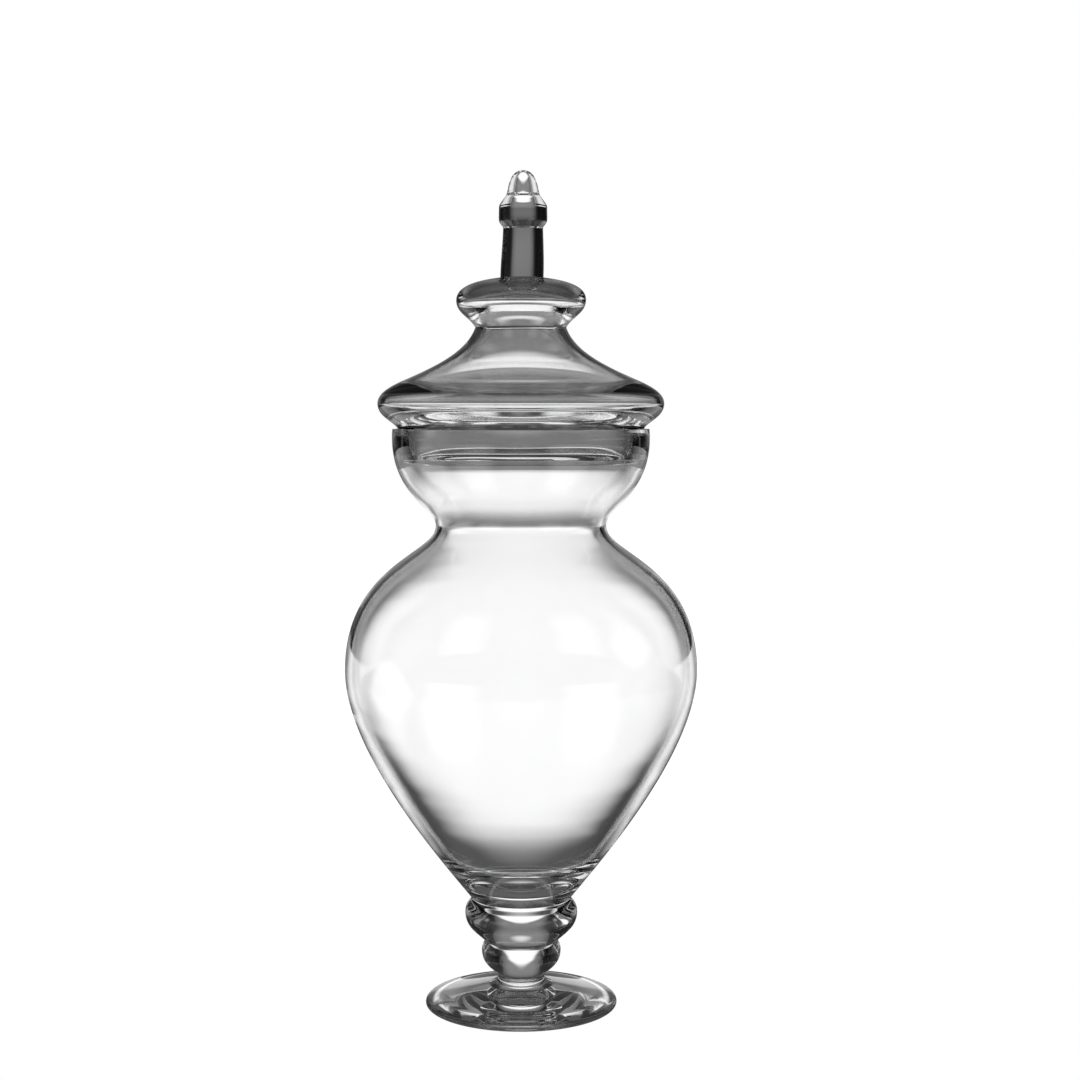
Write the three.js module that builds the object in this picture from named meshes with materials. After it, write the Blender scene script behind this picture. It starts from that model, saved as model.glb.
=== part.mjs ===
// A tall clear-glass apothecary jar on a knopped pedestal, with a hollow domed lid.
// Millimetres, +Z up. The origin is on the axis, at the level of the surface that the foot rests on.
// Every piece is a body of revolution. An outline runs in the half plane x = radius, y = height.
// It goes up the outside and comes back down the inside. The bare numbers in the outlines are the
// handles of its curves, which only set how full each bulge or hollow is.
import * as THREE from 'three';

// ---------------------------------------------------------------- driving dimensions
const HEIGHT = 470.3;
const AROUND = 40;              // facets round the axis, the same on every piece so that joints match

const FOOT_RADIUS = 54.8;
const FOOT_EDGE_LOW = 0.4;      // the ground bevel under the foot's edge
const FOOT_TOP = 11.0;          // where the stem stands on the foot
const FOOT_TOP_RADIUS = 18.0;
const FOOT_REST_OUTER = 53.4;   // the flat ring that the jar stands on
const FOOT_REST_INNER = 41.0;
const FOOT_HOLLOW = 2.2;        // how far the middle of the underside is hollowed

const NECK_HEIGHT = 16.6;       // the narrowest part of the stem, over the foot
const NECK_RADIUS = 12.9;
const VALLEY_HEIGHT = 36.4;     // the groove between the two knops
const VALLEY_RADIUS = 20.4;
const LOWER_KNOP_RADIUS = 22.5;
const LOWER_KNOP_WIDEST = 30.8;
const UPPER_KNOP_RADIUS = 31.9;
const UPPER_KNOP_WIDEST = 52.8;

const BASE_HEIGHT = 61.4;       // where the vessel sits on the upper knop
const BASE_RADIUS = 28.1;
const CAVITY_FLOOR = 71.2;      // the inside of the vessel at the axis
const CAVITY_SIDE_HEIGHT = 90.1;
const CAVITY_SIDE_RADIUS = 45.4;
const BELLY_RADIUS = 99.2;
const BELLY_WIDEST = 191.5;
const BELLY_WALL = 2.9;
const WAIST_RADIUS = 47.8;
const WAIST_HEIGHT = 273.0;
const WAIST_WALL = 3.4;
const RIM_HEIGHT = 327.0;
const RIM_OUTER = 71.9;
const BORE_RADIUS = 67.0;       // the ground mouth that takes the collar
const BORE_BOTTOM = 309.0;

const SEAT_GAP = 0.3;           // between the ground rim and the lid that rests on it
const SEAT_HEIGHT = RIM_HEIGHT + SEAT_GAP;
const SEAT_OUTER = 68.8;
const COLLAR_OUTER = 66.1;
const COLLAR_INNER = 62.6;      // at the top; the wall thins downwards
const COLLAR_INNER_LOW = 64.2;
const COLLAR_BOTTOM = 311.0;
const FLANGE_RADIUS = 80.05;
const FLANGE_WIDEST = 341.2;
const DOME_WALL = 4.5;
const FLANGE_WALL = 3.8;
const BULB_WALL = 3.6;
const SHOULDER_RADIUS = 66.5;   // where the dome starts to turn over into the flange
const SHOULDER_HEIGHT = 353.7;

const CROWN_RADIUS = 25.4;      // where the bulb stands on the dome
const CROWN_HEIGHT = 383.6;
const BULB_RADIUS = 36.2;
const BULB_WIDEST = 398.7;
const BULB_CEILING = 407.0;     // the inside of the bulb at the axis
const POST_BOTTOM = 411.2;
const POST_RADIUS = 12.05;
const POST_TOP = 438.8;
const POST_TOP_RADIUS = 11.1;
const FERRULE_RADIUS = 13.5;
const FERRULE_EDGE_LOW = 441.6;
const FERRULE_EDGE_HIGH = 451.3;
const FERRULE_TOP = 456.7;
const FERRULE_TOP_RADIUS = 9.3;

// ---------------------------------------------------------------- helpers
// An outline is a THREE.Path. Straight stretches keep their ends only; each curve gets its own steps.
function outlinePoints(path, steps) {
  const points = [];
  let curveIndex = 0;
  for (const curve of path.curves) {
    const straight = curve.isLineCurve === true;
    const count = straight ? 1 : steps[curveIndex];
    if (!straight) {
      curveIndex += 1;
    }
    for (const point of curve.getPoints(count)) {
      const last = points[points.length - 1];
      if (!last || last.distanceTo(point) > 1e-4) {
        points.push(point);
      }
    }
  }
  return points;
}

// Turns an outline about the vertical axis. `steps` holds the number of steps of each curve in turn.
function turned(name, path, steps, finish) {
  const geometry = new THREE.LatheGeometry(outlinePoints(path, steps), AROUND);
  geometry.rotateX(Math.PI / 2);
  const mesh = new THREE.Mesh(geometry, new THREE.MeshStandardMaterial({ name: `${name}_glass`, ...finish }));
  mesh.name = name;
  return mesh;
}

const GLASS_OPACITY = 0.35;

function clearGlass(color, roughness) {
  return { color, roughness, metalness: 0, transparent: true, opacity: GLASS_OPACITY };
}

// ---------------------------------------------------------------- jar
function makeFoot() {
  const path = new THREE.Path();
  path.moveTo(0, FOOT_HOLLOW);
  path.quadraticCurveTo(FOOT_REST_INNER * 0.62, FOOT_HOLLOW, FOOT_REST_INNER, 0);
  path.lineTo(FOOT_REST_OUTER, 0);
  path.lineTo(FOOT_RADIUS - 0.15, FOOT_EDGE_LOW);
  path.bezierCurveTo(FOOT_RADIUS + 0.15, 1.6, FOOT_RADIUS - 0.4, 2.6, FOOT_RADIUS - 2.2, 3.1);
  path.bezierCurveTo(FOOT_RADIUS - 14, 5.4, FOOT_TOP_RADIUS + 12, 8.6, FOOT_TOP_RADIUS, FOOT_TOP);
  path.lineTo(0, FOOT_TOP);
  return turned('foot', path, [4, 3, 5], clearGlass(0xdde3e2, 0.06));
}

function makeStemNeck() {
  const path = new THREE.Path();
  path.moveTo(0, FOOT_TOP);
  path.lineTo(FOOT_TOP_RADIUS, FOOT_TOP);
  path.bezierCurveTo(FOOT_TOP_RADIUS - 2.6, 12.4, NECK_RADIUS + 0.2, 13.6, NECK_RADIUS, NECK_HEIGHT);
  path.lineTo(0, NECK_HEIGHT);
  return turned('stem_neck', path, [4], clearGlass(0xbfc6c4, 0.05));
}

function makeLowerKnop() {
  const path = new THREE.Path();
  path.moveTo(0, NECK_HEIGHT);
  path.lineTo(NECK_RADIUS, NECK_HEIGHT);
  path.bezierCurveTo(14.4, 19.4, LOWER_KNOP_RADIUS, 21.6, LOWER_KNOP_RADIUS, LOWER_KNOP_WIDEST);
  path.bezierCurveTo(LOWER_KNOP_RADIUS, 33.6, VALLEY_RADIUS + 0.6, 35.6, VALLEY_RADIUS, VALLEY_HEIGHT);
  path.lineTo(0, VALLEY_HEIGHT);
  return turned('lower_knop', path, [5, 3], clearGlass(0xaab2b0, 0.05));
}

function makeUpperKnop() {
  const path = new THREE.Path();
  path.moveTo(0, VALLEY_HEIGHT);
  path.lineTo(VALLEY_RADIUS, VALLEY_HEIGHT);
  path.bezierCurveTo(25.8, 42.1, UPPER_KNOP_RADIUS, 44.6, UPPER_KNOP_RADIUS, UPPER_KNOP_WIDEST);
  path.bezierCurveTo(UPPER_KNOP_RADIUS, 57.8, 28.7, 59.0, BASE_RADIUS, BASE_HEIGHT);
  path.lineTo(0, BASE_HEIGHT);
  return turned('upper_knop', path, [5, 4], clearGlass(0xa6aeac, 0.05));
}

function makeJarBody() {
  const innerBelly = BELLY_RADIUS - BELLY_WALL;
  const innerWaist = WAIST_RADIUS - WAIST_WALL;
  const path = new THREE.Path();
  path.moveTo(0, BASE_HEIGHT);
  path.lineTo(BASE_RADIUS, BASE_HEIGHT);
  path.bezierCurveTo(55.0, 94.7, BELLY_RADIUS, 150.7, BELLY_RADIUS, BELLY_WIDEST);
  path.bezierCurveTo(BELLY_RADIUS, 251.1, WAIST_RADIUS, 256.7, WAIST_RADIUS, WAIST_HEIGHT);
  path.bezierCurveTo(WAIST_RADIUS, 283.1, 74.6, 291.0, RIM_OUTER, RIM_HEIGHT);
  path.lineTo(BORE_RADIUS, RIM_HEIGHT);
  path.lineTo(BORE_RADIUS, BORE_BOTTOM);
  path.bezierCurveTo(BORE_RADIUS, 298.6, innerWaist, 281.7, innerWaist, WAIST_HEIGHT);
  path.bezierCurveTo(innerWaist, 253.7, innerBelly, 250.3, innerBelly, BELLY_WIDEST);
  path.bezierCurveTo(innerBelly, 160.5, 67.9, 117.2, CAVITY_SIDE_RADIUS, CAVITY_SIDE_HEIGHT);
  path.bezierCurveTo(34.0, 76.4, 25.0, CAVITY_FLOOR, 0, CAVITY_FLOOR);
  return turned('jar_body', path, [9, 9, 7, 5, 8, 6, 4], clearGlass(0xf0f3f3, 0.03));
}

// ---------------------------------------------------------------- lid
function makeLidCollar() {
  const path = new THREE.Path();
  path.moveTo(COLLAR_INNER_LOW + 0.4, COLLAR_BOTTOM);
  path.lineTo(COLLAR_OUTER - 0.4, COLLAR_BOTTOM);
  path.lineTo(COLLAR_OUTER, COLLAR_BOTTOM + 0.4);
  path.lineTo(COLLAR_OUTER, SEAT_HEIGHT);
  path.lineTo(COLLAR_INNER, SEAT_HEIGHT);
  path.bezierCurveTo(COLLAR_INNER + 0.1, 320.0, 63.3, 315.5, COLLAR_INNER_LOW, COLLAR_BOTTOM + 0.4);
  path.lineTo(COLLAR_INNER_LOW + 0.4, COLLAR_BOTTOM);
  return turned('lid_collar', path, [4], clearGlass(0xdfe4e4, 0.08));
}

function makeLidDome() {
  const flangeInner = FLANGE_RADIUS - FLANGE_WALL;
  const crownInner = CROWN_RADIUS - DOME_WALL;
  const path = new THREE.Path();
  path.moveTo(COLLAR_OUTER, SEAT_HEIGHT);
  path.lineTo(SEAT_OUTER, SEAT_HEIGHT);
  path.bezierCurveTo(71.5, 331.5, FLANGE_RADIUS, 333.9, FLANGE_RADIUS, FLANGE_WIDEST);
  path.bezierCurveTo(FLANGE_RADIUS, 347.3, 72.0, 351.1, SHOULDER_RADIUS, SHOULDER_HEIGHT);
  path.bezierCurveTo(50.4, 360.7, 30.3, 369.2, CROWN_RADIUS, CROWN_HEIGHT);
  path.lineTo(crownInner, CROWN_HEIGHT);
  path.bezierCurveTo(25.6, 368.4, 49.1, 356.8, SHOULDER_RADIUS - 1.9, SHOULDER_HEIGHT - 4.1);
  path.bezierCurveTo(69.4, 347.4, flangeInner, 345.6, flangeInner, FLANGE_WIDEST);
  path.bezierCurveTo(flangeInner, 336.5, 68.0, 336.0, COLLAR_INNER, 332.2);
  path.lineTo(COLLAR_INNER, SEAT_HEIGHT);
  path.lineTo(COLLAR_OUTER, SEAT_HEIGHT);
  return turned('lid_dome', path, [5, 5, 5, 4, 4, 4], clearGlass(0xe6eaea, 0.04));
}

function makeLidBulb() {
  const crownInner = CROWN_RADIUS - DOME_WALL;
  const bulbInner = BULB_RADIUS - BULB_WALL;
  const path = new THREE.Path();
  path.moveTo(crownInner, CROWN_HEIGHT);
  path.lineTo(CROWN_RADIUS, CROWN_HEIGHT);
  path.bezierCurveTo(28.9, 389.6, BULB_RADIUS, 391.4, BULB_RADIUS, BULB_WIDEST);
  path.bezierCurveTo(BULB_RADIUS, 408.2, 19.6, 410.0, POST_RADIUS, POST_BOTTOM);
  path.lineTo(0, POST_BOTTOM);
  path.lineTo(0, BULB_CEILING);
  path.bezierCurveTo(14.0, BULB_CEILING, bulbInner, BULB_CEILING - 0.5, bulbInner, BULB_WIDEST - 0.7);
  path.bezierCurveTo(bulbInner, 391.6, crownInner + 2.7, 390.0, crownInner, CROWN_HEIGHT);
  return turned('lid_bulb', path, [5, 5, 4, 4], clearGlass(0xdfe4e4, 0.04));
}

function makeFinialPost() {
  const path = new THREE.Path();
  path.moveTo(0, POST_BOTTOM);
  path.lineTo(POST_RADIUS, POST_BOTTOM);
  path.bezierCurveTo(POST_RADIUS + 0.1, 420.8, POST_TOP_RADIUS + 0.3, 429.1, POST_TOP_RADIUS, POST_TOP);
  path.lineTo(0, POST_TOP);
  return turned('finial_post', path, [3], clearGlass(0xb4bcbb, 0.05));
}

function makeFinialFerrule() {
  const path = new THREE.Path();
  path.moveTo(0, POST_TOP);
  path.lineTo(POST_TOP_RADIUS, POST_TOP);
  path.lineTo(FERRULE_RADIUS - 0.4, FERRULE_EDGE_LOW);
  path.quadraticCurveTo(FERRULE_RADIUS, FERRULE_EDGE_LOW + 0.6, FERRULE_RADIUS, FERRULE_EDGE_LOW + 3);
  path.lineTo(FERRULE_RADIUS - 0.1, FERRULE_EDGE_HIGH - 2);
  const edgeEnd = new THREE.Vector2(FERRULE_RADIUS - 0.8, FERRULE_EDGE_HIGH + 0.6);
  path.quadraticCurveTo(FERRULE_RADIUS, FERRULE_EDGE_HIGH - 0.4, edgeEnd.x, edgeEnd.y);
  path.lineTo(FERRULE_TOP_RADIUS, FERRULE_TOP);
  path.lineTo(0, FERRULE_TOP);
  return turned('finial_ferrule', path, [2, 2], clearGlass(0xb4bcbb, 0.05));
}

function makeFinialTip() {
  const path = new THREE.Path();
  path.moveTo(0, FERRULE_TOP);
  path.lineTo(FERRULE_TOP_RADIUS, FERRULE_TOP);
  path.bezierCurveTo(7.9, 460.7, 7.9, HEIGHT, 0, HEIGHT);
  return turned('finial_tip', path, [6], clearGlass(0xb4bcbb, 0.05));
}

// ---------------------------------------------------------------- assembly
const jar = new THREE.Group();
jar.add(makeFoot(), makeStemNeck(), makeLowerKnop(), makeUpperKnop(), makeJarBody());

const lid = new THREE.Group();
lid.add(makeLidCollar(), makeLidDome(), makeLidBulb());
lid.add(makeFinialPost(), makeFinialFerrule(), makeFinialTip());

const apothecaryJar = new THREE.Group();
apothecaryJar.add(jar, lid);

export default apothecaryJar;
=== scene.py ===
"""The looks of a clear-glass apothecary jar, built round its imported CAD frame.

Every visible piece is a body of revolution that stands for one CAD node. Outlines run in the half plane
(radius, height), in metres, up the outside and back down the inside. The gathers of glass are fused, so
where two pieces meet there is no surface: those faces close each mesh and let light straight through.
"""
import math

import bmesh
import bpy
from mathutils import Matrix, Vector, noise


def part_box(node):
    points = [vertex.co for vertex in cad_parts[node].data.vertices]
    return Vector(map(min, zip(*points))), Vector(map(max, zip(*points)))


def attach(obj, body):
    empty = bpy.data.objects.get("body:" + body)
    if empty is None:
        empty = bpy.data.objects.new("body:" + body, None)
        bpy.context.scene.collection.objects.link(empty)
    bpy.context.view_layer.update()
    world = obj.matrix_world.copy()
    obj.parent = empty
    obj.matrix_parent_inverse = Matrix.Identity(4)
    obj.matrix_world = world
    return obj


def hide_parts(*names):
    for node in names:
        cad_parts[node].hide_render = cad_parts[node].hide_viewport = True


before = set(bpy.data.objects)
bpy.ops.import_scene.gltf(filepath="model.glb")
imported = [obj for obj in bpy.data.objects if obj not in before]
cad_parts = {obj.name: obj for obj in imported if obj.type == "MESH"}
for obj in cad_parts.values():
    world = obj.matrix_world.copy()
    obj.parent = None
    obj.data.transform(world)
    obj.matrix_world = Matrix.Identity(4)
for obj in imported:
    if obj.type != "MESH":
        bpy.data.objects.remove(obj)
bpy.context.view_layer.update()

MM = 0.001
AROUND = 224  # steps round the axis, the same on every piece, so that the rings where pieces meet match


def top(node):
    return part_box(node)[1].z


def bottom(node):
    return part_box(node)[0].z


def widest(node):
    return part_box(node)[1].x


# ------------------------------------------------------------------ radii that two fused pieces share
FOOT_TOP_RADIUS = 18.0 * MM     # foot and merese
NECK_RADIUS = 12.9 * MM         # merese and lower knop
VALLEY_RADIUS = 20.4 * MM       # lower and upper knop
BASE_RADIUS = 28.1 * MM         # upper knop and vessel
COLLAR_INNER = 62.6 * MM        # collar and dome, on the inside
CROWN_RADIUS = 25.4 * MM        # dome and bulb, on the outside
CROWN_INNER = CROWN_RADIUS - 4.5 * MM
POST_RADIUS = 12.05 * MM        # bulb and post
POST_TOP_RADIUS = 11.1 * MM     # post and ferrule
TIP_RADIUS = 9.3 * MM           # ferrule and tip


# ------------------------------------------------------------------ outlines
def at(radius, height):
    """A point of an outline, in metres."""
    return Vector((radius, height))


def mm(radius, height):
    """A point of an outline, in millimetres."""
    return Vector((radius * MM, height * MM))


def line(start, end, steps=1):
    return [start.lerp(end, i / steps) for i in range(steps + 1)]


def disc_out(radius, height):
    """A flat face, from the axis outwards."""
    return line(at(0, height), at(radius, height), 2)


def disc_in(radius, height):
    """A flat face, from its edge back to the axis."""
    return line(at(radius, height), at(0, height), 2)


def curve(start, first, second, end, steps):
    """A cubic Bezier curve."""
    points = []
    for i in range(steps + 1):
        t = i / steps
        s = 1 - t
        points.append(start * s**3 + first * 3 * s * s * t + second * 3 * s * t * t + end * t**3)
    return points


def inset(points, at_start, at_end):
    """The same curve moved inwards, to its left as it climbs, by a wall that changes smoothly."""
    moved = []
    for i, point in enumerate(points):
        along = points[min(i + 1, len(points) - 1)] - points[max(i - 1, 0)]
        share = i / (len(points) - 1)
        wall = at_start + (at_end - at_start) * share * share * (3 - 2 * share)
        moved.append(point + Vector((-along.y, along.x)).normalized() * wall)
    return moved


def smooth_rise(value, low, high):
    t = min(max((value - low) / (high - low), 0.0), 1.0)
    return t * t * (3 - 2 * t)


# ------------------------------------------------------------------ hand-blown unevenness
OUT_OF_ROUND = 0.16 * MM
WALL_RIPPLE = 0.05 * MM
WALL_DRIFT = 0.11 * MM
TRUE_WITHIN = 30 * MM  # the unevenness grows from nothing at the axis to its full size at this radius
FINIAL_LEAN = 1.3 * MM
LEAN_FROM = bottom("lid_bulb")
LEAN_TO = top("finial_post")


def uneven(radius, height, angle, inside):
    """How far the surface stands out from a true turned one at this place."""
    around = Vector((math.cos(angle), math.sin(angle), height * 9.0))
    amount = OUT_OF_ROUND * noise.noise(around * 0.9 + Vector((3.1, 7.7, 1.3)))
    if inside:
        amount += WALL_DRIFT * noise.noise(around * 1.7 + Vector((11.0, 2.5, 9.2)))
        rings = Vector((math.cos(angle) * 0.35, math.sin(angle) * 0.35, height * 190.0))
        amount += WALL_RIPPLE * noise.noise(rings)
    return amount * smooth_rise(radius, 0.0, TRUE_WITHIN)


def lean(height):
    """How far the axis stands to the right at this height: the finial was stuck on a little out of true."""
    return FINIAL_LEAN * smooth_rise(height, LEAN_FROM, LEAN_TO)


# ------------------------------------------------------------------ turning an outline into a mesh
SKIN, GROUND, FUSED = 0, 1, 2
SAME_PLACE = 1e-7
SHARP_FROM = math.radians(32)


def turn(name, stretches, edge=None):
    """Turns joined stretches of outline, each (points, surface, inside), about the axis into one mesh.

    The outline starts and ends on the axis, or closes on itself. edge(angle, point) may move a point.
    """
    outline = []
    surfaces = []
    for points, surface, inside in stretches:
        fresh = points if not outline else points[1:]
        for point in fresh:
            if outline:
                surfaces.append(surface)
            outline.append((point, inside))
    closed_loop = (outline[0][0] - outline[-1][0]).length < SAME_PLACE
    if closed_loop:
        outline.pop()

    vertices = []
    rings = []
    for point, inside in outline:
        on_axis = point.x < SAME_PLACE
        ring = []
        for step in range(1 if on_axis else AROUND):
            angle = 2 * math.pi * step / AROUND
            place = edge(angle, point) if edge else point
            radius = place.x + uneven(place.x, place.y, angle, inside)
            ring.append(len(vertices))
            x = radius * math.cos(angle) + lean(place.y)
            vertices.append((x, radius * math.sin(angle), place.y))
        rings.append(ring)

    faces = []
    face_surfaces = []
    for i, surface in enumerate(surfaces):
        lower = rings[i]
        upper = rings[(i + 1) % len(rings)]
        if len(lower) == len(upper) == 1:
            continue
        for step in range(AROUND):
            after = (step + 1) % AROUND
            if len(lower) == 1:
                face = (lower[0], upper[after], upper[step])
            elif len(upper) == 1:
                face = (lower[step], lower[after], upper[0])
            else:
                face = (lower[step], lower[after], upper[after], upper[step])
            faces.append(face)
            face_surfaces.append(surface)

    mesh = bpy.data.meshes.new(name)
    mesh.from_pydata(vertices, [], faces)
    mesh.polygons.foreach_set("material_index", face_surfaces)
    mesh.polygons.foreach_set("use_smooth", [True] * len(faces))
    mesh.set_sharp_from_angle(angle=SHARP_FROM)
    mesh.update()
    piece = bpy.data.objects.new(name, mesh)
    bpy.context.scene.collection.objects.link(piece)
    return piece


def add_bubbles(piece, bubbles):
    """Puts seeds, the small bubbles that stay in thick glass, into a piece: each (place, width, height)."""
    mesh = bmesh.new()
    mesh.from_mesh(piece.data)
    for place, width, height in bubbles:
        shape = Matrix.Translation(place) @ Matrix.Diagonal((width / 2, width / 2, height / 2, 1))
        made = bmesh.ops.create_uvsphere(mesh, u_segments=20, v_segments=12, radius=1, matrix=shape)
        faces = {face for vertex in made["verts"] for face in vertex.link_faces}
        bmesh.ops.reverse_faces(mesh, faces=list(faces))
        for face in faces:
            face.smooth = True
    mesh.to_mesh(piece.data)
    mesh.free()


# ------------------------------------------------------------------ materials
GLASS_INDEX = 1.52
BLOWN_TINT = (0.985, 0.985, 0.987)
SOLID_TINT = (0.965, 0.972, 0.962)


def node(tree, kind, **sockets):
    made = tree.nodes.new(kind)
    for key, value in sockets.items():
        made.inputs[key.replace("_", " ")].default_value = value
    return made


def glass(name, tint, cord_depth, haze):
    """Clear glass, with the faint cords that gathering leaves in it and a breath of haze in patches."""
    material = bpy.data.materials.new(name)
    material.use_nodes = True
    tree = material.node_tree
    shader = tree.nodes["Principled BSDF"]
    shader.inputs["Base Color"].default_value = (*tint, 1)
    shader.inputs["Transmission Weight"].default_value = 1
    shader.inputs["IOR"].default_value = GLASS_INDEX

    place = tree.nodes.new("ShaderNodeTexCoord")
    stretch = node(tree, "ShaderNodeMapping", Scale=(1, 1, 3.2))
    tree.links.new(place.outputs["Object"], stretch.inputs["Vector"])

    cords = node(tree, "ShaderNodeTexNoise", Scale=16, Detail=2, Roughness=0.4)
    tree.links.new(stretch.outputs["Vector"], cords.inputs["Vector"])
    bump = node(tree, "ShaderNodeBump", Strength=1, Distance=cord_depth)
    tree.links.new(cords.outputs["Fac"], bump.inputs["Height"])
    tree.links.new(bump.outputs["Normal"], shader.inputs["Normal"])

    patches = node(tree, "ShaderNodeTexNoise", Scale=38, Detail=5, Roughness=0.6)
    tree.links.new(place.outputs["Object"], patches.inputs["Vector"])
    amount = node(tree, "ShaderNodeMapRange", From_Min=0.5, From_Max=0.75, To_Min=0.0, To_Max=haze)
    tree.links.new(patches.outputs["Fac"], amount.inputs["Value"])
    tree.links.new(amount.outputs["Result"], shader.inputs["Roughness"])
    return material


def ground_glass(name, tint):
    """The lapped faces that meet: the rim of the jar and the seat of the lid."""
    material = glass(name, tint, 0.06 * MM, 0.12)
    tree = material.node_tree
    shader = tree.nodes["Principled BSDF"]
    place = tree.nodes.new("ShaderNodeTexCoord")
    scratches = node(tree, "ShaderNodeTexNoise", Scale=900, Detail=3, Roughness=0.7)
    tree.links.new(place.outputs["Object"], scratches.inputs["Vector"])
    amount = node(tree, "ShaderNodeMapRange", From_Min=0.3, From_Max=0.7, To_Min=0.08, To_Max=0.3)
    tree.links.new(scratches.outputs["Fac"], amount.inputs["Value"])
    tree.links.new(amount.outputs["Result"], shader.inputs["Roughness"])
    return material


def fused_joint():
    """The face inside a fused joint: there is only glass on both sides, so nothing of it shows."""
    material = bpy.data.materials.new("fused_joint")
    material.use_nodes = True
    tree = material.node_tree
    tree.nodes.remove(tree.nodes["Principled BSDF"])
    clear = node(tree, "ShaderNodeBsdfTransparent", Color=(1, 1, 1, 1))
    tree.links.new(clear.outputs["BSDF"], tree.nodes["Material Output"].inputs["Surface"])
    return material


blown = glass("blown_glass", BLOWN_TINT, 0.03 * MM, 0.015)
solid = glass("solid_glass", SOLID_TINT, 0.03 * MM, 0.02)
lapped = ground_glass("lapped_glass", BLOWN_TINT)
fused = fused_joint()


def finish_piece(piece, skin, body, cad_node):
    """Gives a piece its glass, in the order SKIN, GROUND, FUSED, hides the CAD node it stands for and ties
    it to its body.
    """
    for material in (skin, lapped, fused):
        piece.data.materials.append(material)
    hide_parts(cad_node)
    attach(piece, body)


# ------------------------------------------------------------------ jar
def make_foot():
    edge_radius = widest("foot")
    top_z = top("foot")
    rest_outer = 53.4 * MM
    rest_inner = 41.0 * MM
    hollow = 2.2 * MM
    rim_top = at(edge_radius - 2.2 * MM, 3.1 * MM)
    under = curve(at(0, hollow), at(14 * MM, hollow), at(30 * MM, hollow * 0.62), at(rest_inner, 0), 18)
    ring = line(at(rest_inner, 0), at(rest_outer, 0), 4)
    rim = curve(at(rest_outer, 0), at(edge_radius + 0.2 * MM, 0), at(edge_radius + 0.5 * MM, 2.6 * MM),
                rim_top, 10)
    slope = curve(rim_top, at(edge_radius - 14 * MM, 5.4 * MM), at(FOOT_TOP_RADIUS + 12 * MM, 8.6 * MM),
                  at(FOOT_TOP_RADIUS, top_z), 30)
    piece = turn("foot_disc", [(under, SKIN, True), (ring, SKIN, False), (rim, SKIN, False),
                               (slope, SKIN, False), (disc_in(FOOT_TOP_RADIUS, top_z), FUSED, False)])
    finish_piece(piece, solid, "jar", "foot")


def make_stem_neck():
    low = bottom("stem_neck")
    high = top("stem_neck")
    side = curve(at(FOOT_TOP_RADIUS, low), at(FOOT_TOP_RADIUS - 2.6 * MM, low + 1.4 * MM),
                 at(NECK_RADIUS + 0.2 * MM, high - 3.0 * MM), at(NECK_RADIUS, high), 16)
    piece = turn("stem_merese", [(disc_out(FOOT_TOP_RADIUS, low), FUSED, False), (side, SKIN, False),
                                 (disc_in(NECK_RADIUS, high), FUSED, False)])
    finish_piece(piece, solid, "jar", "stem_neck")


def make_knop(name, cad_node, low_radius, widest_z, high_radius, handles):
    """A solid knop between two flat joints.

    handles are the inner points of its two curves, lowest first: a point, the heights of the two that lie
    straight under and over its widest place, and a point.
    """
    low = bottom(cad_node)
    high = top(cad_node)
    wide = widest(cad_node)
    girth = at(wide, widest_z)
    under = curve(at(low_radius, low), handles[0], at(wide, handles[1]), girth, 20)
    over = curve(girth, at(wide, handles[2]), handles[3], at(high_radius, high), 14)
    piece = turn(name, [(disc_out(low_radius, low), FUSED, False), (under, SKIN, False),
                        (over, SKIN, False), (disc_in(high_radius, high), FUSED, False)])
    finish_piece(piece, solid, "jar", cad_node)


def make_vessel():
    base_z = bottom("jar_body")
    rim_z = top("jar_body")
    belly_radius = widest("jar_body")
    base_wall = 3.9 * MM
    belly_wall = 2.9 * MM
    cup_wall = 3.4 * MM
    bore_radius = 67.0 * MM
    bore_low = 311.0 * MM
    cup_in_top = 308 * MM
    bowl_from = 88 * MM    # the cavity is rounded off below this height
    bowl_pull = 17         # how many millimetres its curve runs straight on from the wall above
    base = at(BASE_RADIUS, base_z)
    belly = at(belly_radius, 191.5 * MM)
    waist = mm(47.8, 273.0)
    rim = at(71.9 * MM, rim_z)
    bore_top = at(bore_radius, rim_z)
    floor = mm(0, 71.2)

    lower = curve(base, mm(55.0, 94.7), at(belly_radius, 150.7 * MM), belly, 44)
    upper = curve(belly, at(belly_radius, 251.1 * MM), mm(47.8, 256.7), waist, 44)
    cup = curve(waist, mm(47.8, 283.1), mm(74.6, 291.0), rim, 34)
    lip = line(rim, bore_top, 3)
    cup_in = [point for point in inset(cup, cup_wall, cup_wall)[::-1] if point.y < cup_in_top]
    bore = line(bore_top, at(bore_radius, bore_low), 7) + [cup_in[0]]
    upper_in = inset(upper, belly_wall, cup_wall)[::-1]
    lower_in = inset([point for point in lower if point.y > bowl_from], base_wall, belly_wall)[::-1]
    side = lower_in[-1]
    slope = (lower_in[-1] - lower_in[-2]).normalized() * bowl_pull * MM
    bowl = curve(side, side + slope, at(25.0 * MM, floor.y), floor, 26)
    piece = turn("vessel", [(disc_out(BASE_RADIUS, base_z), FUSED, False), (lower, SKIN, False),
                            (upper, SKIN, False), (cup, SKIN, False), (lip, GROUND, False),
                            (bore, SKIN, True), (cup_in, SKIN, True), (upper_in, SKIN, True),
                            (lower_in, SKIN, True), (bowl, SKIN, True)])
    add_bubbles(piece, [(Vector((1.2, -9.0, 67.6)) * MM, 1.5 * MM, 1.1 * MM),
                        (Vector((0.6, -10.5, 65.4)) * MM, 0.9 * MM, 0.9 * MM),
                        (Vector((-8.0, 6.0, 66.2)) * MM, 1.1 * MM, 0.7 * MM)])
    finish_piece(piece, blown, "jar", "jar_body")


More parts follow.
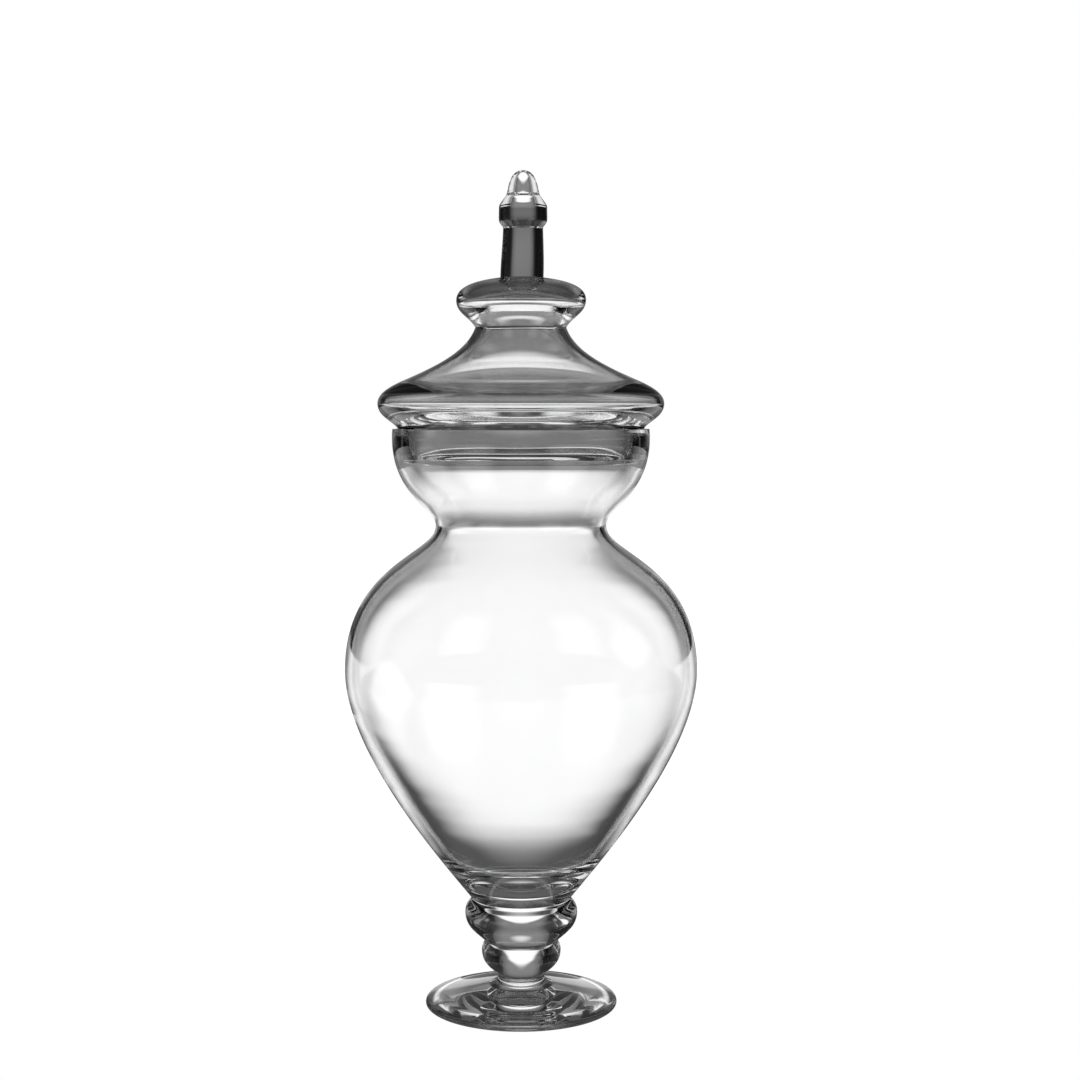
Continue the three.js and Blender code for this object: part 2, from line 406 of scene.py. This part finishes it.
# ------------------------------------------------------------------ lid
COLLAR_LOW = bottom("lid_collar")
EDGE_REACH = 3 * MM    # how far up the collar its uneven edge is felt
EDGE_SWING = 0.5 * MM
EDGE_LIFT = 0.3 * MM
CHIP_SIZE = 2.0 * MM


def collar_edge(angle, point):
    """The collar was cracked off, so its lower edge runs up and down a little, with a few small chips."""
    near = 1 - smooth_rise(point.y, COLLAR_LOW, COLLAR_LOW + EDGE_REACH)
    swing = EDGE_SWING * noise.noise(Vector((math.cos(angle), math.sin(angle), 4.0)) * 1.6)
    chipped = noise.noise(Vector((math.cos(angle), math.sin(angle), 9.0)) * 14.0) - 0.45
    chips = max(chipped, 0.0) * CHIP_SIZE
    return Vector((point.x, point.y + near * (swing + chips + EDGE_LIFT)))


def make_lid_collar():
    high = top("lid_collar")
    outer = widest("lid_collar")
    inner_low = 64.2 * MM
    corner = 0.4 * MM  # the worn corners of the lower edge
    outer_corner = at(outer, COLLAR_LOW + corner)
    inner_corner = at(inner_low, COLLAR_LOW + corner)
    edge_outer = at(outer - corner, COLLAR_LOW)
    edge_inner = at(inner_low + corner, COLLAR_LOW)
    outside = line(edge_outer, outer_corner) + line(outer_corner, at(outer, high), 12)[1:]
    joint = line(at(outer, high), at(COLLAR_INNER, high))
    inside = curve(at(COLLAR_INNER, high), mm(62.7, 320.0), mm(63.3, 315.5), inner_corner, 14)
    inside += line(inner_corner, edge_inner)[1:]
    under = line(edge_inner, edge_outer, 4)
    piece = turn("collar", [(outside, SKIN, False), (joint, FUSED, True), (inside, SKIN, True),
                            (under, SKIN, False)], collar_edge)
    finish_piece(piece, blown, "lid", "lid_collar")


def make_lid_dome():
    seat_z = bottom("lid_dome")
    crown_z = top("lid_dome")
    flange_radius = widest("lid_dome")
    collar_outer = widest("lid_collar")
    flange_z = 341.2 * MM
    flange_inner = flange_radius - 3.8 * MM
    throat_top = 334.2 * MM
    flange = at(flange_radius, flange_z)
    shoulder = mm(66.5, 353.7)
    seat_end = at(68.8 * MM, seat_z)
    inner_shoulder = mm(64.6, 349.6)
    inner_flange = at(flange_inner, flange_z)

    seat = line(at(collar_outer, seat_z), seat_end, 2)
    under = curve(seat_end, mm(71.5, 331.5), at(flange_radius, 333.9 * MM), flange, 24)
    edge = curve(flange, at(flange_radius, 347.3 * MM), mm(72.0, 351.1), shoulder, 22)
    rise = curve(shoulder, mm(50.4, 360.7), mm(30.3, 369.2), at(CROWN_RADIUS, crown_z), 36)
    joint = line(at(CROWN_RADIUS, crown_z), at(CROWN_INNER, crown_z))
    rise_in = curve(at(CROWN_INNER, crown_z), mm(25.9, 368.2), mm(49.0, 356.9), inner_shoulder, 36)
    edge_in = curve(inner_shoulder, mm(69.4, 347.4), at(flange_inner, 345.6 * MM), inner_flange, 20)
    under_in = curve(inner_flange, at(flange_inner, 337.6 * MM), mm(69.0, 337.4),
                     at(COLLAR_INNER, throat_top), 20)
    throat = line(at(COLLAR_INNER, throat_top), at(COLLAR_INNER, seat_z), 3)
    collar_joint = line(at(COLLAR_INNER, seat_z), at(collar_outer, seat_z))
    piece = turn("dome", [(seat, GROUND, False), (under, SKIN, False), (edge, SKIN, False),
                          (rise, SKIN, False), (joint, FUSED, True), (rise_in, SKIN, True),
                          (edge_in, SKIN, True), (under_in, SKIN, True), (throat, SKIN, True),
                          (collar_joint, FUSED, False)])
    finish_piece(piece, blown, "lid", "lid_dome")


def make_lid_bulb():
    low = bottom("lid_bulb")
    high = top("lid_bulb")
    wide = widest("lid_bulb")
    inner = wide - 3.6 * MM
    ceiling = 407.0 * MM
    middle = 398.7 * MM
    inner_middle = at(inner, middle - 0.7 * MM)
    joint = line(at(CROWN_INNER, low), at(CROWN_RADIUS, low))
    under = curve(at(CROWN_RADIUS, low), mm(28.9, 389.6), at(wide, 391.4 * MM), at(wide, middle), 20)
    over = curve(at(wide, middle), at(wide, 408.2 * MM), mm(19.6, 410.0), at(POST_RADIUS, high), 26)
    core = line(at(0, high), at(0, ceiling))
    inside_high = curve(at(0, ceiling), at(14 * MM, ceiling), at(inner - 2.0 * MM, ceiling - 1.8 * MM),
                        inner_middle, 24)
    inside_low = curve(inner_middle, at(inner, 393.4 * MM), at(CROWN_INNER + 1.4 * MM, 392.2 * MM),
                       at(CROWN_INNER, low), 20)
    piece = turn("bulb", [(joint, FUSED, True), (under, SKIN, False), (over, SKIN, False),
                          (disc_in(POST_RADIUS, high), FUSED, False), (core, FUSED, False),
                          (inside_high, SKIN, True), (inside_low, SKIN, True)])
    finish_piece(piece, blown, "lid", "lid_bulb")


def make_finial_post():
    low = bottom("finial_post")
    high = top("finial_post")
    side = curve(at(POST_RADIUS, low), mm(12.15, 420.8), mm(11.4, 429.1), at(POST_TOP_RADIUS, high), 24)
    piece = turn("post", [(disc_out(POST_RADIUS, low), FUSED, False), (side, SKIN, False),
                          (disc_in(POST_TOP_RADIUS, high), FUSED, False)])
    finish_piece(piece, solid, "lid", "finial_post")


def make_finial_ferrule():
    low = bottom("finial_ferrule")
    high = top("finial_ferrule")
    wide = widest("finial_ferrule")
    under_edge = mm(13.1, 441.6)
    side_low = at(wide, 444.6 * MM)
    side_high = mm(13.4, 449.3)
    over_edge = at(wide - 0.8 * MM, 451.9 * MM)
    under = line(at(POST_TOP_RADIUS, low), under_edge, 4)
    under += curve(under_edge, mm(13.35, 442.0), mm(13.5, 443.0), side_low, 6)[1:]
    over = line(side_low, side_high, 4)
    over += curve(side_high, mm(13.45, 450.4), mm(13.2, 451.2), over_edge, 6)[1:]
    over += line(over_edge, at(TIP_RADIUS, high), 5)[1:]
    piece = turn("ferrule", [(disc_out(POST_TOP_RADIUS, low), FUSED, False), (under, SKIN, False),
                             (over, SKIN, False), (disc_in(TIP_RADIUS, high), FUSED, False)])
    finish_piece(piece, solid, "lid", "finial_ferrule")


def make_finial_tip():
    low = bottom("finial_tip")
    high = top("finial_tip")
    crown = curve(at(TIP_RADIUS, low), mm(7.9, 460.7), at(7.9 * MM, high), at(0, high), 26)
    piece = turn("tip", [(disc_out(TIP_RADIUS, low), FUSED, False), (crown, SKIN, False)])
    finish_piece(piece, solid, "lid", "finial_tip")


make_foot()
make_stem_neck()
make_knop("lower_ball", "lower_knop", NECK_RADIUS, 30.8 * MM, VALLEY_RADIUS,
          (mm(14.4, 19.4), 21.6 * MM, 33.6 * MM, mm(21.0, 35.6)))
make_knop("upper_ball", "upper_knop", VALLEY_RADIUS, 52.8 * MM, BASE_RADIUS,
          (mm(25.8, 42.1), 44.6 * MM, 57.8 * MM, mm(28.7, 59.0)))
make_vessel()
make_lid_collar()
make_lid_dome()
make_lid_bulb()
make_finial_post()
make_finial_ferrule()
make_finial_tip()


# ------------------------------------------------------------------ studio
# Clear glass shows only its surroundings. The camera sees plain white, and the glass sees light panels to
# the front, back and sides, with a glowing floor of painted light that is bright further out and dark close
# round the foot.
PANEL_DISTANCE = 1.0      # metres from the axis
PANEL_HALF_WIDTH = 0.4
PANEL_HEIGHT = 1.0
PANEL_LIGHT = 1.15
PANEL_UPPER_LIGHT = 0.25
PANEL_ARCH = 0.33         # metres by which the bright part of a panel sinks from its middle to its sides
FRONT_LEVEL = 0.2         # light from the front and the right, as a share of that from the back and left
FLOOR_RADIUS = 4.0
FLOOR_DROP = 0.3 * MM     # keeps the floor just clear of the foot
FLOOR_ARCH = 0.5          # metres by which the floor's light draws back from a beam's middle to its sides
FLOOR_LEAST_LIGHT = 0.006
CAMERA_PLACE = (0.0, -1.0936, 0.3432)
CAMERA_DOWN = math.radians(4.106)
CAMERA_RIGHT = math.radians(0.56)
CAMERA_LENS = 65.0        # millimetres, as is the sensor
CAMERA_SENSOR = 36.0
LIGHT_BOUNCES = 40        # at the mouth light crosses eight surfaces, and solid pieces reflect it inside


def math_node(tree, operation, first, second=None, third=None):
    """A Math node: each operand is an output socket or a number."""
    made = tree.nodes.new("ShaderNodeMath")
    made.operation = operation
    for i, operand in enumerate((first, second, third)):
        if operand is None:
            continue
        if isinstance(operand, (int, float)):
            made.inputs[i].default_value = operand
        else:
            tree.links.new(operand, made.inputs[i])
    return made.outputs[0]


def product(tree, first, *others):
    result = first
    for other in others:
        result = math_node(tree, "MULTIPLY", result, other)
    return result


def ramp(tree, value, low, high, at_low, at_high):
    """A smooth step from at_low to at_high as value goes from low to high."""
    made = node(tree, "ShaderNodeMapRange", From_Min=low, From_Max=high, To_Min=at_low, To_Max=at_high)
    made.interpolation_type = "SMOOTHSTEP"
    tree.links.new(value, made.inputs["Value"])
    return made.outputs["Result"]


def four_fold(tree, across, along):
    """The cosine of four times the angle: 1 towards +-X and +-Y, and -1 on the diagonals."""
    angle = math_node(tree, "ARCTAN2", across, along)
    return math_node(tree, "COSINE", math_node(tree, "MULTIPLY", angle, 4.0))


def beams(tree, wave):
    """Flat-topped beams with soft sides."""
    return ramp(tree, wave, -0.45, 0.75, 0.0, 1.0)


def side_level(tree, x, y):
    """Full light from behind the jar (+Y) and from its left (-X), and less from the other two sides."""
    back_left = math_node(tree, "SUBTRACT", y, x)
    return ramp(tree, back_left, -0.02, 0.02, FRONT_LEVEL, 1.0)


def seen_white(tree, light):
    """The light that reaches the glass, and pure white where the camera looks straight at it."""
    path = tree.nodes.new("ShaderNodeLightPath")
    return math_node(tree, "MAXIMUM", light, path.outputs["Is Camera Ray"])


def elevation(degrees):
    """The height of a direction on the unit sphere."""
    return math.sin(math.radians(degrees))


def place_of(tree, socket):
    """The x, y and z of a texture coordinate."""
    place = tree.nodes.new("ShaderNodeTexCoord")
    split = tree.nodes.new("ShaderNodeSeparateXYZ")
    tree.links.new(place.outputs[socket], split.inputs[0])
    return split.outputs


def emission(name, strength_of):
    """A material that only glows. strength_of(tree) makes its strength."""
    material = bpy.data.materials.new(name)
    material.use_nodes = True
    tree = material.node_tree
    tree.nodes.clear()
    glow = node(tree, "ShaderNodeEmission", Color=(1, 1, 1, 1))
    tree.links.new(strength_of(tree), glow.inputs["Strength"])
    output = tree.nodes.new("ShaderNodeOutputMaterial")
    tree.links.new(glow.outputs[0], output.inputs["Surface"])
    return material


def light_world():
    """A dim room, a little lighter low down behind the panels and overhead."""
    world = bpy.data.worlds.new("studio")
    bpy.context.scene.world = world
    world.use_nodes = True
    tree = world.node_tree
    tree.nodes.clear()
    x, y, z = place_of(tree, "Generated")
    low_part = ramp(tree, z, elevation(8), elevation(35), 0.12, 0.03)
    overhead = ramp(tree, z, elevation(6), elevation(40), 0.004, 0.06)
    background = node(tree, "ShaderNodeBackground", Color=(1, 1, 1, 1))
    light = math_node(tree, "ADD", product(tree, beams(tree, four_fold(tree, x, y)), low_part), overhead)
    tree.links.new(seen_white(tree, light), background.inputs["Strength"])
    output = tree.nodes.new("ShaderNodeOutputWorld")
    tree.links.new(background.outputs[0], output.inputs[0])


def panel_strength(tree):
    """Bright low down, dim from about the height of the rim, and fading further up."""
    x, y, z = place_of(tree, "Object")
    wave = four_fold(tree, x, y)
    arched = math_node(tree, "SUBTRACT", z, math_node(tree, "MULTIPLY_ADD", wave, PANEL_ARCH, -PANEL_ARCH))
    level = ramp(tree, arched, 0.219, 0.336, PANEL_LIGHT, PANEL_UPPER_LIGHT)
    fade = ramp(tree, z, 0.343, 0.75, 1.0, 0.2)
    return product(tree, beams(tree, wave), side_level(tree, x, y), level, fade)


def stand_panels():
    """Four light panels round the jar. The camera looks past them."""
    vertices = []
    faces = []
    for quarter in range(4):
        turn_by = math.radians(90 * quarter)
        outwards = Vector((math.sin(turn_by), math.cos(turn_by), 0))
        sideways = Vector((outwards.y, -outwards.x, 0)) * PANEL_HALF_WIDTH
        for corner, height in ((-1, 0), (1, 0), (1, PANEL_HEIGHT), (-1, PANEL_HEIGHT)):
            vertices.append(outwards * PANEL_DISTANCE + sideways * corner + Vector((0, 0, height)))
        faces.append(range(4 * quarter, 4 * quarter + 4))
    mesh = bpy.data.meshes.new("light_panels")
    mesh.from_pydata(vertices, [], faces)
    mesh.materials.append(emission("panel_glow", panel_strength))
    panels = bpy.data.objects.new("light_panels", mesh)
    bpy.context.scene.collection.objects.link(panels)
    panels.visible_camera = False


def ahead_of_panels(tree, x, y, away):
    """Floor light between the jar and the panels, at its full strength half a metre out."""
    wave = four_fold(tree, x, y)
    drawn_back = math_node(tree, "MULTIPLY_ADD", wave, FLOOR_ARCH, -FLOOR_ARCH)
    rounded = math_node(tree, "ADD", away, drawn_back)
    return product(tree, beams(tree, wave), side_level(tree, x, y),
                   ramp(tree, rounded, 0.075, 0.5, 0.06, PANEL_LIGHT))


def on_diagonals(tree, x, y, away):
    """Floor light between the beams. It starts nearer in, so that the jar looks clear from there too."""
    slant_x = math_node(tree, "ADD", x, y)
    slant_y = math_node(tree, "SUBTRACT", y, x)
    slanted = ramp(tree, four_fold(tree, slant_x, slant_y), -0.1, 0.9, 0.0, 1.0)
    return product(tree, slanted, ramp(tree, away, 0.14, 0.28, 0.03, 0.9))


def painted_caustic_under_foot(tree, away):
    """Painted light on the floor: a soft painted glow under the foot, which ends in a thin bright painted
    caustic ring inside the foot's edge.
    """
    # painted light: a glow and a bright ring on the floor, where the glass foot would throw a caustic
    glow = ramp(tree, away, 24 * MM, 47 * MM, 0.02, 0.25)
    ring = ramp(tree, away, 45.2 * MM, 47.7 * MM, 0.0, 0.8)
    # beyond the ring the floor is dimmed almost to nothing: a painted shadow round the foot's edge
    painted_edge_shadow = ramp(tree, away, 48.2 * MM, 50.2 * MM, 1.0, 0.03)
    return product(tree, math_node(tree, "ADD", glow, ring), painted_edge_shadow)


def floor_strength(tree):
    # The floor's glow is painted light: beams of it further out, dark close round the jar, and a painted
    # caustic under the foot.
    place = tree.nodes.new("ShaderNodeTexCoord")
    distance = tree.nodes.new("ShaderNodeVectorMath")
    distance.operation = "LENGTH"
    tree.links.new(place.outputs["Object"], distance.inputs[0])
    away = distance.outputs["Value"]
    x, y, _ = place_of(tree, "Object")
    around = math_node(tree, "MAXIMUM", ahead_of_panels(tree, x, y, away), on_diagonals(tree, x, y, away))
    light = math_node(tree, "ADD", around, painted_caustic_under_foot(tree, away))
    return seen_white(tree, math_node(tree, "ADD", light, FLOOR_LEAST_LIGHT))


def lay_floor():
    """A round floor that glows though it is no lamp: plain white to the camera, and to the glass painted
    light, bright further out, dark close round the foot and with a painted caustic ring under it.
    """
    bpy.ops.mesh.primitive_circle_add(vertices=96, radius=FLOOR_RADIUS, fill_type="NGON",
                                      location=(0, 0, -FLOOR_DROP))
    floor = bpy.context.object
    floor.name = "studio_floor"
    floor.data.materials.append(emission("glowing_floor_painted_light", floor_strength))


def place_camera():
    data = bpy.data.cameras.new("camera")
    data.lens = CAMERA_LENS
    data.sensor_width = CAMERA_SENSOR
    camera = bpy.data.objects.new("camera", data)
    bpy.context.scene.collection.objects.link(camera)
    camera.location = CAMERA_PLACE
    camera.rotation_euler = (math.radians(90) - CAMERA_DOWN, 0, -CAMERA_RIGHT)
    bpy.context.scene.camera = camera


def set_light_paths():
    scene = bpy.context.scene
    scene.view_settings.view_transform = "Standard"
    scene.cycles.max_bounces = LIGHT_BOUNCES
    scene.cycles.transmission_bounces = LIGHT_BOUNCES
    scene.cycles.transparent_max_bounces = LIGHT_BOUNCES
    scene.cycles.glossy_bounces = 12
    scene.cycles.caustics_refractive = True
    scene.cycles.caustics_reflective = True
    scene.cycles.blur_glossy = 0.0
    scene.cycles.sample_clamp_indirect = 0.0


light_world()
stand_panels()
lay_floor()
place_camera()
set_light_paths()
